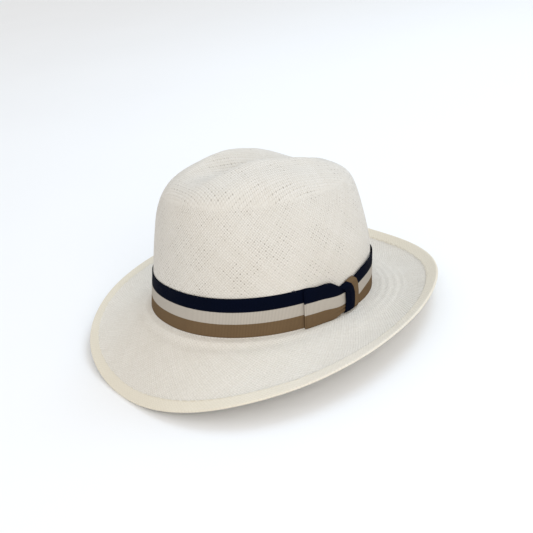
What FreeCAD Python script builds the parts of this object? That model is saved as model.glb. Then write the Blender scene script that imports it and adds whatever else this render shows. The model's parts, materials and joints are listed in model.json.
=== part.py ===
import FreeCAD, Part
import math
import os
import Sketcher

# A straw fedora-shaped hat: woven crown and brim in one piece, a striped ribbon round the crown with a
# flat bow on the wearer's left, and a leather sweatband sewn inside the head opening.
#
# The hat is first laid out level: the break line, where the crown meets the brim, is the plane z = 0,
# the wearer faces -Y and the wearer's left is +X. Every piece is then turned back a few degrees by one
# shared placement, which stands the hat on a table on its front brim edge and the back of its brim.

Vector = FreeCAD.Vector

# alias, value (millimetres, degrees or a plain number), what it is
DIMENSIONS = [
    ("oval_half_length", 102.3, "outside of the straw at the break line, half front to back"),
    ("oval_half_width", 86.3, "outside of the straw at the break line, half side to side"),
    ("oval_power", 2.12, "2 is an ellipse, more is squarer"),
    ("oval_egg", 0.02, "how much wider the oval is behind than in front"),
    ("straw_thickness", 1.4, "one layer of the weave"),
    ("fold_thickness", 0.9, "second layer, where the brim edge is turned under"),
    ("fold_width", 9.0, "width of the turned edge"),
    ("taper_front", 6.1, "lean of the front wall, degrees"),
    ("taper_side", 6.6, "lean of the side walls, degrees"),
    ("taper_back", 5.7, "lean of the back wall, degrees"),
    ("crown_height", 124.3, "break line to the highest point of the uncreased crown"),
    ("side_fullness", 3.1, "power of the rounded side shoulders"),
    ("end_fullness", 9.1, "power of the squarer front and back shoulders"),
    ("fullness_turn", 3.4, "how late the shoulders turn from side to end, as a power"),
    ("dome_fall", 0.0298, "fall of the top away from its highest point"),
    ("dome_power", 1.42, "1 is a straight fall, 2 a round one"),
    ("dome_soft", 12.0, "length of the rounded peak"),
    ("dome_front", 16.8, "how far in front of the middle the top is highest"),
    ("back_drop", 4.0, "right side of the back lower than the left by this"),
    ("back_drop_run", 60.0, "length over which it drops"),
    ("crease_depth", 15.3, "centre crease at its deepest"),
    ("crease_half_width", 25.4, "centre line to the ridge beside it"),
    ("crease_spread", 0.36, "how much wider the crease is behind than in front"),
    ("crease_front", 82.3, "where the crease starts, in front of the middle"),
    ("crease_back", 80.0, "where the crease ends, behind the middle"),
    ("crease_run_front", 69.0, "length over which it reaches its depth from the front"),
    ("crease_run_back", 60.0, "length over which it runs out behind"),
    ("ridge_height", 3.1, "rise of the ridge beside the crease"),
    ("ridge_half_width", 7.0, "spread of that rise"),
    ("pinch_depth", 6.0, "dent on each side of the front"),
    ("pinch_front", 45.0, "centre of the dent, in front of the middle"),
    ("pinch_height", 95.0, "centre of the dent, above the break line"),
    ("pinch_length", 30.0, "spread of the dent along the side"),
    ("pinch_rise", 22.0, "spread of the dent up the side"),
    ("brim_width", 61.5, "mean width of the brim, measured along it"),
    ("brim_width_front", 3.1, "wider in front and narrower behind by this"),
    ("brim_width_ends", 2.9, "wider at both ends and narrower at the sides by this"),
    ("brim_edge_mean", -5.8, "mean height of the brim edge over the break line"),
    ("brim_edge_rake", 26.5, "edge rises behind and falls in front by this"),
    ("brim_edge_roll", 9.6, "edge rises at the sides and falls at the ends by this"),
    ("brim_edge_wave", -2.0, "fourfold part of the edge height"),
    ("brim_curl_mean", 8.0, "mean height of the turned-up outer brim"),
    ("brim_curl_rake", 6.0, "more curl behind and less in front by this"),
    ("band_width", 32.0, "width of the striped ribbon"),
    ("band_lower", 0.6, "lower edge of the ribbon over the break line"),
    ("ribbon_thickness", 0.6, "one layer of grosgrain"),
    ("ribbon_gap", 0.3, "ribbon clear of the straw"),
    ("bow_start", -14.5, "folded end of the bow, degrees behind the left side"),
    ("bow_end", 8.4, "where the bow enters its knot, degrees"),
    ("bow_thickness", 1.7, "two layers of ribbon, slightly open"),
    ("bow_gather_above", 9.0, "upper edge of the bow drawn down at the knot"),
    ("bow_gather_below", 2.0, "lower edge of the bow drawn up at the knot"),
    ("knot_angle", 14.0, "middle of the knot, degrees behind the left side"),
    ("knot_width", 18.5, "width of the knot along the band"),
    ("knot_height", 26.0, "height of the knot"),
    ("knot_lower", 1.6, "lower edge of the knot over the break line"),
    ("knot_depth", 3.4, "how far the knot stands out of the band"),
    ("knot_round", 0.9, "rounding of the knot's edges"),
    ("sweatband_lower", 2.2, "lower edge of the leather over the break line"),
    ("sweatband_upper", 37.0, "upper edge of the leather over the break line"),
    ("sweatband_gap", 0.4, "leather clear of the straw"),
    ("sweatband_thickness", 1.0, "leather"),
    ("reed_radius", 0.8, "plastic reed at the foot of the leather"),
    ("reed_height", 0.75, "middle of the reed over the break line"),
    ("tape_thickness", 0.4, "woven tape that holds the reed"),
    ("label_length", 20.0, "blank size label"),
    ("label_height", 12.0, "blank size label"),
    ("label_thickness", 0.35, "blank size label"),
    ("label_angle", 118.0, "place of the label, degrees behind the left side"),
    ("label_lower", 14.0, "lower edge of the label over the break line"),
    ("label_sagitta", 0.8, "how far the curved leather rises behind the flat label"),
    ("small_bow_angle", 8.0, "half length of the bow inside, degrees"),
    ("small_bow_height", 12.0, "middle of the bow inside over the break line"),
    ("small_bow_half", 4.5, "half width of the bow inside at its ends"),
    ("small_bow_waist", 1.6, "half width of the bow inside at its middle"),
    ("small_bow_thickness", 1.1, "bow inside"),
    ("thread_radius", 0.25, "sewing thread"),
    ("sweatband_seam", 2.5, "stitches over the lower edge of the leather"),
    ("fold_seam", 1.5, "stitches outside the inner line of the turned edge"),
    ("bow_tack_height", 8.0, "tacks of the bow over the ribbon's lower edge"),
]

doc = FreeCAD.newDocument("panama_hat")
sheet = doc.addObject("Spreadsheet::Sheet", "Dimensions")
for row, (alias, value, note) in enumerate(DIMENSIONS, start=1):
    sheet.set(f"A{row}", alias)
    sheet.set(f"B{row}", str(value))
    sheet.set(f"C{row}", note)
    sheet.setAlias(f"B{row}", alias)
doc.recompute()


def size(alias):
    return float(sheet.get(alias))


STRAW = size("straw_thickness")
CROWN_HEIGHT = size("crown_height")
RIBBON_INNER = size("ribbon_gap")
RIBBON_OUTER = RIBBON_INNER + size("ribbon_thickness")
BAND_LOWER = size("band_lower")
BAND_UPPER = BAND_LOWER + size("band_width")
LEATHER_OUTER = -(STRAW + size("sweatband_gap"))
LEATHER_INNER = LEATHER_OUTER - size("sweatband_thickness")
TOUCH = 0.1  # hair's breadth between pieces that lie on each other
KNOT_CLEARANCE = 0.25  # the flat back of the knot against the curved ribbon
REED_CLEARANCE = 0.05  # between the reed and the tape round it


# ---------------------------------------------------------------- shape of the level hat

def smooth_step(value):
    value = min(1.0, max(0.0, value))
    return value * value * (3.0 - 2.0 * value)


OVAL_HALF_LENGTH = size("oval_half_length")
OVAL_HALF_WIDTH = size("oval_half_width")
OVAL_POWER = size("oval_power")
OVAL_EGG = size("oval_egg")


def oval(angle, offset=0.0):
    """Point and outward normal of the break-line oval, pushed out by offset. 0 is the hat's left."""
    def on_oval(turn):
        across = math.cos(turn)
        along = math.sin(turn)
        reach = (abs(across) ** OVAL_POWER + abs(along) ** OVAL_POWER) ** (-1.0 / OVAL_POWER)
        widening = 1.0 + OVAL_EGG * along * reach
        return (OVAL_HALF_WIDTH * across * reach * widening, OVAL_HALF_LENGTH * along * reach)

    step = 1e-4
    x, y = on_oval(angle)
    before = on_oval(angle - step)
    after = on_oval(angle + step)
    normal = Vector(after[1] - before[1], before[0] - after[0], 0)
    normal.normalize()
    return Vector(x, y, 0) + normal * offset, normal


def wall_inset(angle, height):
    """How far the leaning crown wall has come in at this height."""
    along = math.sin(angle)
    if along < 0:
        end_taper = size("taper_front")
    else:
        end_taper = size("taper_back")
    taper = size("taper_side") + (end_taper - size("taper_side")) * along ** 2
    return height * math.tan(math.radians(taper))


def fullness(angle):
    """Power of the rounded shoulder: low is rounder, high is squarer."""
    endwards = abs(math.sin(angle)) ** size("fullness_turn")
    return size("side_fullness") + (size("end_fullness") - size("side_fullness")) * endwards


def wall(angle, height, offset):
    """Point at a height on the uncreased crown, offset outwards from the straw's outer face."""
    power = fullness(angle)
    rise = height / CROWN_HEIGHT
    spread = (1.0 - rise ** power) ** (1.0 / power)
    point, normal = oval(angle, -wall_inset(angle, height))
    point = point * spread + normal * offset
    point.z = height
    return point


def crease_drop(x, y):
    """Fall of the top into the centre crease, less the rise of the ridge beside it."""
    half_width = size("crease_half_width") * (1.0 + size("crease_spread") * y / size("crease_back"))
    across = min(1.0, abs(x) / half_width)
    valley = 0.5 + 0.5 * math.cos(math.pi * across)
    ridge = math.exp(-((abs(x) - half_width) / size("ridge_half_width")) ** 2)
    start = smooth_step((y + size("crease_front")) / size("crease_run_front"))
    end = smooth_step((size("crease_back") - y) / size("crease_run_back"))
    return (size("crease_depth") * valley - size("ridge_height") * ridge) * start * end


def dome_drop(x, y):
    """Fall of the top from its peak, with the back a little lower on the wearer's right."""
    power = size("dome_power")
    away = math.hypot(y + size("dome_front"), size("dome_soft"))
    fall = size("dome_fall") * (away ** power - size("dome_soft") ** power)
    right_side = smooth_step(-x / size("crease_half_width"))
    return fall + size("back_drop") * right_side * smooth_step(y / size("back_drop_run"))


def crown_point(angle, climb):
    """Outer face of the crown. climb is 0 at the break line and 90 degrees at the middle of the top."""
    power = fullness(angle)
    in_reach = math.cos(climb)
    up_reach = math.sin(climb)
    rise = min(1.0, up_reach * (in_reach ** power + up_reach ** power) ** (-1.0 / power))
    point = wall(angle, rise * CROWN_HEIGHT, 0.0)
    point.z -= rise ** 4 * dome_drop(point.x, point.y)
    point.z -= crease_drop(point.x, point.y) * smooth_step((rise - 0.55) / 0.4)
    near_pinch = math.exp(-((point.y + size("pinch_front")) / size("pinch_length")) ** 2
                          - ((point.z - size("pinch_height")) / size("pinch_rise")) ** 2)
    dent = size("pinch_depth") * near_pinch * smooth_step(abs(point.x) / size("pinch_length"))
    point.x -= math.copysign(dent, point.x)
    return point


def brim_edge_height(angle):
    return (size("brim_edge_mean") + size("brim_edge_rake") * math.sin(angle)
            + size("brim_edge_roll") * math.cos(2 * angle) + size("brim_edge_wave") * math.cos(4 * angle))


def brim_point(angle, reach):
    """Upper face of the brim. reach runs from 0 at the break line to 1 at the edge."""
    width = (size("brim_width") - size("brim_width_front") * math.sin(angle)
             - size("brim_width_ends") * math.cos(2 * angle))
    edge_height = brim_edge_height(angle)
    curl = size("brim_curl_mean") + size("brim_curl_rake") * math.sin(angle)
    run = math.sqrt(width ** 2 - edge_height ** 2)
    point, normal = oval(angle, run * reach)
    turned_up = max(0.0, (reach - 0.45) / 0.55) ** 1.8
    point.z = (edge_height - curl) * reach ** 1.15 + curl * turned_up
    return point


BACK = 90.0  # degrees round the hat from its left side to the middle of its back
COLUMNS = 72
CLIMBS = [90.0 - 3.3 * step for step in range(27)] + [0.9, 0.0]
REACHES = [0.035, 0.10, 0.19, 0.29, 0.39, 0.49, 0.58, 0.67, 0.75, 0.82, 0.87, 0.92, 0.96, 1.0]
EDGE_ROUNDING = [25.0, 65.0, 115.0, 155.0]


def outer_rows():
    """Rows of points from the middle of the crown's top, down the wall and out to the brim edge."""
    angles = [2 * math.pi * column / COLUMNS for column in range(COLUMNS)]
    rows = [[crown_point(angle, math.radians(climb)) for angle in angles] for climb in CLIMBS]
    rows += [[brim_point(angle, reach) for angle in angles] for reach in REACHES]
    return rows


def row_normals(rows, index):
    """Outward normals along one row of the outer face."""
    if index == 0:
        return [Vector(0, 0, 1)] * COLUMNS
    below = rows[min(index + 1, len(rows) - 1)]
    normals = []
    for column in range(COLUMNS):
        around = rows[index][(column + 1) % COLUMNS] - rows[index][column - 1]
        outward = below[column] - rows[index - 1][column]
        normal = outward.cross(around)
        normal.normalize()
        normals.append(normal)
    return normals


def layer_thickness(index):
    """One layer of straw, two where the brim edge is turned under."""
    first_brim_row = len(CLIMBS)
    if index < first_brim_row:
        return STRAW
    fold_start = 1.0 - size("fold_width") / size("brim_width")
    inside_fold = smooth_step((REACHES[index - first_brim_row] - fold_start) / 0.04 + 0.5)
    return STRAW + size("fold_thickness") * inside_fold


def edge_rows(rows, normals, thickness):
    """Rows of points that round the brim edge from its upper face to its lower one."""
    rounded = []
    for turn in EDGE_ROUNDING:
        row = []
        for column in range(COLUMNS):
            outward = rows[-1][column] - rows[-2][column]
            outward.normalize()
            sideways = outward * (0.5 * thickness * math.sin(math.radians(turn)))
            down = normals[column] * (0.5 * thickness * (1.0 - math.cos(math.radians(turn))))
            row.append(rows[-1][column] + sideways - down)
        rounded.append(row)
    return rounded


def skin_rows():
    """Every row of the closed skin: over the top, round the brim edge and back up underneath."""
    outer = outer_rows()
    inner = []
    for index, row in enumerate(outer):
        normals = row_normals(outer, index)
        thickness = layer_thickness(index)
        inner.append([point - normal * thickness for point, normal in zip(row, normals)])
    rounded = edge_rows(outer, row_normals(outer, len(outer) - 1), layer_thickness(len(outer) - 1))
    return outer + rounded + inner[::-1]


def closed_skin(rows):
    """One smooth surface over the rows, closed round the hat and closed to a point at both ends."""
    degree = 3
    inner_knots = len(rows) - degree
    row_knots = [float(knot) for knot in range(inner_knots + 1)]
    row_multiplicities = [degree + 1] + [1] * (inner_knots - 1) + [degree + 1]
    column_knots = [float(knot) for knot in range(COLUMNS + 1)]
    column_multiplicities = [1] * (COLUMNS + 1)
    surface = Part.BSplineSurface()
    surface.buildFromPolesMultsKnots(rows, row_multiplicities, column_multiplicities,
                                     row_knots, column_knots, False, True, degree, degree)
    shell = Part.Shell([surface.toShape()])
    return Part.Solid(shell)


# ---------------------------------------------------------------- standing on a table

def resting_placement(rows):
    """Turns the level hat back until front edge and back brim touch one plane, which becomes z = 0."""
    front_foot = min((point for row in rows for point in row if point.y < 0), key=lambda point: point.z)
    pitch = min(math.atan2(point.z - front_foot.z, point.y - front_foot.y)
                for row in rows for point in row if point.y > size("oval_half_length") / 2)
    turn = FreeCAD.Rotation(Vector(1, 0, 0), -math.degrees(pitch))
    turned = [turn.multVec(point) for row in rows for point in row]
    lowest = min(point.z for point in turned)
    middle = 0.5 * (min(point.y for point in turned) + max(point.y for point in turned))
    return FreeCAD.Placement(Vector(0, -middle, -lowest), turn)


SKIN_ROWS = skin_rows()
REST = resting_placement(SKIN_ROWS)
pieces = []


def keep(piece, local=None):
    """Gives a finished piece its place on the resting hat."""
    if local is None:
        piece.Placement = REST
    else:
        piece.Placement = REST.multiply(local)
    pieces.append(piece)


def free_form(label, shape):
    """A piece whose curved shape no sketch or primitive gives."""
    piece = doc.addObject("Part::Feature", label)
    piece.Label = label
    piece.Shape = shape
    keep(piece)


# ---------------------------------------------------------------- sketched pieces

def new_body(label):
    body = doc.addObject("PartDesign::Body", label)
    body.Label = label
    return body


def new_sketch(body, name, plane):
    sketch = body.newObject("Sketcher::SketchObject", name)
    origin_plane = next(item for item in body.Origin.OriginFeatures if item.Role == plane)
    sketch.AttachmentSupport = [(origin_plane, "")]
    sketch.MapMode = "FlatFace"
    return sketch


def oval_sketch(body, name, height_formula, height, offset):
    """Level sketch of the crown's oval at a height, offset from the straw's outer face."""
    sketch = new_sketch(body, name, "XY_Plane")
    sketch.setExpression("AttachmentOffset.Base.z", height_formula)
    points = []
    for column in range(COLUMNS):
        point = wall(2 * math.pi * column / COLUMNS, height, offset)
        points.append(Vector(point.x, point.y, 0))
    curve = Part.BSplineCurve()
    curve.interpolate(points, PeriodicFlag=True)
    sketch.addGeometry(curve, False)
    return sketch


def loft(body, kind, name, lower, upper):
    feature = body.newObject("PartDesign::" + kind, name)
    feature.Profile = lower
    feature.Sections = [upper]
    feature.Ruled = True
    return feature


def ring_of_ribbon(label, lower_formula, upper_formula, lower, upper, inner, outer):
    """A strip that goes once round the crown wall, inside or outside the straw."""
    body = new_body(label)
    ends = [(lower_formula, lower, "_lower"), (upper_formula, upper, "_upper")]
    outline = [oval_sketch(body, label + "_outer" + end, formula, height, outer)
               for formula, height, end in ends]
    loft(body, "AdditiveLoft", label + "_solid", *outline)
    hollow = [oval_sketch(body, label + "_inner" + end, formula, height, inner)
              for formula, height, end in ends]
    loft(body, "SubtractiveLoft", label + "_hollow", *hollow)
    keep(body)


def ring_pipe(label, radius_formula, hollow_formula=None):
    """A round cord or tube that follows the foot of the sweatband."""
    body = new_body(label)
    offset = LEATHER_OUTER - size("reed_radius") - size("tape_thickness")
    spine = oval_sketch(body, label + "_path", "Dimensions.reed_height", size("reed_height"), offset)
    start = wall(0.0, size("reed_height"), offset)

    def round_profile(name, formula):
        profile = new_sketch(body, name, "XZ_Plane")
        centre = Vector(start.x, size("reed_height"), 0)
        circle = profile.addGeometry(Part.Circle(centre, Vector(0, 0, 1), size("reed_radius")), False)
        constraint = profile.addConstraint(Sketcher.Constraint("Radius", circle, size("reed_radius")))
        profile.setExpression(f"Constraints[{constraint}]", formula)
        return profile

    def pipe(kind, name, profile):
        feature = body.newObject("PartDesign::" + kind, name)
        feature.Profile = profile
        feature.Spine = (spine, ["Edge1"])

    pipe("AdditivePipe", label + "_round", round_profile(label + "_section", radius_formula))
    if hollow_formula:
        pipe("SubtractivePipe", label + "_bore", round_profile(label + "_bore_section", hollow_formula))
    keep(body)


def wall_frame(angle_degrees, height, offset):
    """Local frame on the crown wall: X out of the wall, Y along the band, Z up the leaning wall."""
    angle = math.radians(angle_degrees)
    point, normal = oval(angle)
    foot = wall(angle, height, offset)
    rise = wall(angle, height + size("band_width"), offset) - foot
    lean = math.degrees(math.atan2(-rise.dot(normal), size("band_width")))
    heading = math.degrees(math.atan2(normal.y, normal.x))
    turn = FreeCAD.Rotation(Vector(0, 0, 1), heading).multiply(FreeCAD.Rotation(Vector(0, 1, 0), -lean))
    return FreeCAD.Placement(foot, turn)


def strip(first, last, lower, upper, inner, outer, steps=12):
    """Strip on the crown wall between two angles in degrees. lower and upper are functions of 0 to 1."""
    sections = []
    for step in range(steps + 1):
        part = step / steps
        angle = math.radians(first + (last - first) * part)
        corners = [wall(angle, lower(part), inner), wall(angle, lower(part), outer),
                   wall(angle, upper(part), outer), wall(angle, upper(part), inner)]
        sections.append(Part.makePolygon(corners + corners[:1]))
    return Part.makeLoft(sections, True, False)


def stitches(count, first, last, length, place):
    """Short threads spaced evenly between two angles. place gives a point for an angle in radians."""
    threads = []
    for number in range(count):
        angle = math.radians(first + (last - first) * number / count)
        start = place(angle)
        ahead = place(angle + math.radians(0.5)) - start
        ahead.normalize()
        threads.append(Part.makeCylinder(size("thread_radius"), length, start, ahead))
    return Part.makeCompound(threads)


# ---------------------------------------------------------------- the pieces

def make_hat_body():
    free_form("hat_body", closed_skin(SKIN_ROWS))


def make_hat_band():
    ring_of_ribbon("hat_band", "Dimensions.band_lower", "Dimensions.band_lower + Dimensions.band_width",
                   BAND_LOWER, BAND_UPPER, RIBBON_INNER, RIBBON_OUTER)


def make_bow_loop():
    """Two layers of the same ribbon, folded at the front end and gathered towards the knot."""
    def lower(part):
        return BAND_LOWER - TOUCH + size("bow_gather_below") * smooth_step((part - 0.55) / 0.45)

    def upper(part):
        return BAND_UPPER + TOUCH - size("bow_gather_above") * smooth_step((part - 0.55) / 0.45)

    inner = RIBBON_OUTER + TOUCH
    free_form("bow_loop", strip(size("bow_start"), size("bow_end"), lower, upper,
                                inner, inner + size("bow_thickness")))


def make_bow_knot():
    """Ribbon wrapped over the gathered end of the bow, as a pad with rounded edges."""
    body = new_body("bow_knot")
    sketch = new_sketch(body, "bow_knot_face", "YZ_Plane")
    half = size("knot_width") / 2
    top = size("knot_height")
    corners = [Vector(-half, 0, 0), Vector(half, 0, 0), Vector(half, top, 0), Vector(-half, top, 0)]
    for index, corner in enumerate(corners):
        sketch.addGeometry(Part.LineSegment(corner, corners[(index + 1) % 4]), False)
    for index in range(4):
        sketch.addConstraint(Sketcher.Constraint("Coincident", index, 2, (index + 1) % 4, 1))
    for index, direction in enumerate(["Horizontal", "Vertical", "Horizontal", "Vertical"]):
        sketch.addConstraint(Sketcher.Constraint(direction, index))
    sketch.addConstraint(Sketcher.Constraint("Symmetric", 0, 1, 0, 2, -1, 1))
    width = sketch.addConstraint(Sketcher.Constraint("DistanceX", 0, 1, 0, 2, 2 * half))
    height = sketch.addConstraint(Sketcher.Constraint("DistanceY", 1, 1, 1, 2, top))
    sketch.setExpression(f"Constraints[{width}]", "Dimensions.knot_width")
    sketch.setExpression(f"Constraints[{height}]", "Dimensions.knot_height")
    pad = body.newObject("PartDesign::Pad", "bow_knot_pad")
    pad.Profile = sketch
    pad.setExpression("Length", "Dimensions.knot_depth")
    doc.recompute()
    front = [f"Edge{number}" for number, edge in enumerate(pad.Shape.Edges, start=1)
             if min(vertex.X for vertex in edge.Vertexes) > size("knot_depth") - TOUCH]
    fillet = body.newObject("PartDesign::Fillet", "bow_knot_rounding")
    fillet.Base = (pad, front)
    fillet.setExpression("Radius", "Dimensions.knot_round")
    keep(body, wall_frame(size("knot_angle"), size("knot_lower"), RIBBON_OUTER + KNOT_CLEARANCE))


def make_sweatband():
    ring_of_ribbon("sweatband", "Dimensions.sweatband_lower", "Dimensions.sweatband_upper",
                   size("sweatband_lower"), size("sweatband_upper"), LEATHER_INNER, LEATHER_OUTER)


def make_reed_and_tape():
    ring_pipe("sweatband_reed", "Dimensions.reed_radius")
    ring_pipe("reed_tape", "Dimensions.reed_radius + Dimensions.tape_thickness",
              f"Dimensions.reed_radius + {REED_CLEARANCE}")


def make_sweatband_bow():
    """Small flat bow sewn over the joint of the leather, which marks the back of the hat."""
    middle = size("small_bow_height")
    waist = size("small_bow_waist")
    face = LEATHER_INNER - TOUCH
    first = BACK - size("small_bow_angle")
    last = BACK + size("small_bow_angle")

    def half_height(part):
        from_middle = abs(2 * part - 1)
        return waist + (size("small_bow_half") - waist) * smooth_step(1.4 * from_middle)

    free_form("sweatband_bow", strip(first, last, lambda part: middle - half_height(part),
                                     lambda part: middle + half_height(part),
                                     face - size("small_bow_thickness"), face))


def make_size_label():
    body = new_body("size_label")
    sketch = new_sketch(body, "size_label_face", "YZ_Plane")
    half = size("label_length") / 2
    top = size("label_height")
    corners = [Vector(-half, 0, 0), Vector(half, 0, 0), Vector(half, top, 0), Vector(-half, top, 0)]
    for index, corner in enumerate(corners):
        sketch.addGeometry(Part.LineSegment(corner, corners[(index + 1) % 4]), False)
    pad = body.newObject("PartDesign::Pad", "size_label_pad")
    pad.Profile = sketch
    pad.setExpression("Length", "Dimensions.label_thickness")
    offset = LEATHER_INNER - size("label_sagitta") - size("label_thickness")
    keep(body, wall_frame(size("label_angle"), size("label_lower"), offset))


def make_stitches():
    thread = size("thread_radius")

    def on_leather(angle):
        height = size("sweatband_lower") + size("sweatband_seam")
        return wall(angle, height, LEATHER_INNER - thread - TOUCH)

    def on_brim(angle):
        reach = 1.0 - (size("fold_width") - size("fold_seam")) / size("brim_width")
        return brim_point(angle, reach) + Vector(0, 0, thread + TOUCH)

    def on_band(angle):
        return wall(angle, BAND_UPPER + thread + TOUCH, thread + TOUCH)

    def on_bow(angle):
        face = RIBBON_OUTER + size("bow_thickness") + 2 * TOUCH
        return wall(angle, BAND_LOWER + size("bow_tack_height"), face + thread)

    bow_start = size("bow_start")
    for label, count, first, last, length, place in [
            ("sweatband_stitches", 110, 0, 360, 3.2, on_leather),
            ("brim_edge_stitches", 132, 0, 360, 4.0, on_brim),
            ("band_tack_stitches", 6, 40, 400, 2.5, on_band),
            ("bow_stitches", 2, bow_start + 2, bow_start + 8, 2.0, on_bow)]:
        free_form(label, stitches(count, first, last, length, place))


def check_and_export():
    doc.recompute()
    for item in doc.Objects:
        if "Invalid" in item.State or "Error" in item.State:
            raise RuntimeError(f"{item.Label} did not recompute: {item.State}")
    for piece in pieces:
        if piece.Shape.isNull() or not piece.Shape.isValid() or piece.Shape.Volume <= 0:
            raise RuntimeError(f"{piece.Label} has no valid solid")
    os.makedirs("parts", exist_ok=True)
    for piece in pieces:
        piece.Shape.exportStep(os.path.join("parts", piece.Label + ".step"))
        print(piece.Label, len(piece.Shape.Solids), "solids,", round(piece.Shape.Volume / 1000, 2), "cm3")


make_hat_body()
make_hat_band()
make_bow_loop()
make_bow_knot()
make_sweatband()
make_reed_and_tape()
make_sweatband_bow()
make_size_label()
make_stitches()
check_and_export()
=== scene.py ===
import json
import math
import bpy
import numpy as np
from mathutils import Matrix, Vector


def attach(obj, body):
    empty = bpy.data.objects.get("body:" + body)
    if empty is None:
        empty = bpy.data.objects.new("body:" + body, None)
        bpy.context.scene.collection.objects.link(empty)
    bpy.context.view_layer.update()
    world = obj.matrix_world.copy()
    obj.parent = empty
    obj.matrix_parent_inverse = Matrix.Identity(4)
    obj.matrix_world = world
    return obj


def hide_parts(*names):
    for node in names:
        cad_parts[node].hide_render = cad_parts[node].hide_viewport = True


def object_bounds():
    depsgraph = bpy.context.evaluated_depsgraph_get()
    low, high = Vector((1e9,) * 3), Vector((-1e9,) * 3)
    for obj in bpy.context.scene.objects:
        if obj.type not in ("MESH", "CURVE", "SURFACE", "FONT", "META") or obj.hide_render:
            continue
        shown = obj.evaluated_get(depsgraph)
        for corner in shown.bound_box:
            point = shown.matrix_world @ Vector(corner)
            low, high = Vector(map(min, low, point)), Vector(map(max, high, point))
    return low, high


# The looks of a straw fedora-shaped hat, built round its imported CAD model. The hat is laid out level, in
# millimetres, as in its CAD source: the break line, where the crown meets the brim, is z = 0, the front is
# -Y and the wearer's left is +X. REST then turns it as it stands on the table, in metres.

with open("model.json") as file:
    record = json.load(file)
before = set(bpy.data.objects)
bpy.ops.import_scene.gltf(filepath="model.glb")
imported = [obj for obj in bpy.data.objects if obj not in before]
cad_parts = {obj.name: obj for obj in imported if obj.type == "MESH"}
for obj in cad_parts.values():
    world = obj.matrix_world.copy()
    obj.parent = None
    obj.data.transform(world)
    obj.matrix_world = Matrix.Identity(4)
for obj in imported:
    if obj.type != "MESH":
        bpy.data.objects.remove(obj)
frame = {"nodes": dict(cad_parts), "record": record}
cad_low, cad_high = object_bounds()

opening = frame["record"]["mounts"][0]
PITCH = math.atan2(opening["axis"][1], -opening["axis"][2])
REST = Matrix.Translation(opening["pos_m"]) @ Matrix.Rotation(PITCH, 4, "X")
LEVEL_TO_ROW = REST @ Matrix.Scale(0.001, 4)

# ---------------------------------------------------------------- dimensions of the level hat, millimetres

OVAL_HALF_LENGTH = 102.3
OVAL_HALF_WIDTH = 86.3
OVAL_POWER = 2.12
OVAL_EGG = 0.02
STRAW = 1.4
FOLD_THICKNESS = 0.9
FOLD_WIDTH = 9.0
TAPER_FRONT, TAPER_SIDE, TAPER_BACK = 6.1, 6.6, 5.7
CROWN_HEIGHT = 124.3
SIDE_FULLNESS, END_FULLNESS, FULLNESS_TURN = 3.1, 9.1, 3.4
DOME_FALL, DOME_POWER, DOME_SOFT, DOME_FRONT = 0.0298, 1.42, 12.0, 16.8
BACK_DROP, BACK_DROP_RUN = 4.0, 60.0
CREASE_DEPTH, CREASE_HALF_WIDTH, CREASE_SPREAD = 15.3, 25.4, 0.36
CREASE_FRONT, CREASE_BACK, CREASE_RUN_FRONT, CREASE_RUN_BACK = 82.3, 80.0, 69.0, 60.0
RIDGE_HEIGHT, RIDGE_HALF_WIDTH = 3.1, 7.0
PINCH_DEPTH, PINCH_FRONT, PINCH_HEIGHT, PINCH_LENGTH, PINCH_RISE = 6.0, 45.0, 95.0, 30.0, 22.0
BRIM_WIDTH, BRIM_WIDTH_FRONT, BRIM_WIDTH_ENDS = 61.5, 3.1, 2.9
EDGE_MEAN, EDGE_RAKE, EDGE_ROLL, EDGE_WAVE = -5.8, 26.5, 9.6, -2.0
CURL_MEAN, CURL_RAKE = 8.0, 6.0
CREASE_STARTS, CREASE_SETS_IN = 0.55, 0.4  # shares of the crown's height: where the crease starts, its run
DROOP_POWER, CURL_START, CURL_POWER = 1.15, 0.45, 1.8
BULGE, BULGE_HEIGHT, BULGE_SPREAD = 3.0, 38.0, 30.0  # the crown is fuller low down behind the bow
BULGE_MIDDLE, BULGE_ARC = math.radians(60.0), 1.33
BREAK_RADIUS = 2.2
BAND_LOWER, BAND_WIDTH = 0.6, 32.0
RIBBON_GAP, RIBBON = 0.3, 0.6
KHAKI_PART, WHITE_PART = 0.345, 0.65  # shares of the ribbon's width, from its lower edge
WEAVE = 2.7  # one diamond of the weave, corner to corner


# ---------------------------------------------------------------- shape of the level hat

def smooth_step(value):
    value = np.clip(value, 0.0, 1.0)
    return value * value * (3.0 - 2.0 * value)


def bell(value):
    return np.exp(-value ** 2)


def degrees_from_left(angle):
    """Angle in degrees from the hat's left side, from -180 to 180."""
    return (np.degrees(angle) + 180.0) % 360.0 - 180.0


def oval(angle, offset=0.0):
    """Points and outward normals of the break-line oval, pushed out by offset. 0 is the hat's left."""
    def on_oval(turn):
        across, along = np.cos(turn), np.sin(turn)
        reach = (np.abs(across) ** OVAL_POWER + np.abs(along) ** OVAL_POWER) ** (-1.0 / OVAL_POWER)
        egg = 1.0 + OVAL_EGG * along * reach
        return OVAL_HALF_WIDTH * across * reach * egg, OVAL_HALF_LENGTH * along * reach

    small_turn = 1e-4
    x, y = on_oval(angle)
    ahead, behind = on_oval(angle + small_turn), on_oval(angle - small_turn)
    normal_x, normal_y = ahead[1] - behind[1], behind[0] - ahead[0]
    length = np.hypot(normal_x, normal_y)
    normal_x, normal_y = normal_x / length, normal_y / length
    return x + normal_x * offset, y + normal_y * offset, normal_x, normal_y


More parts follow.
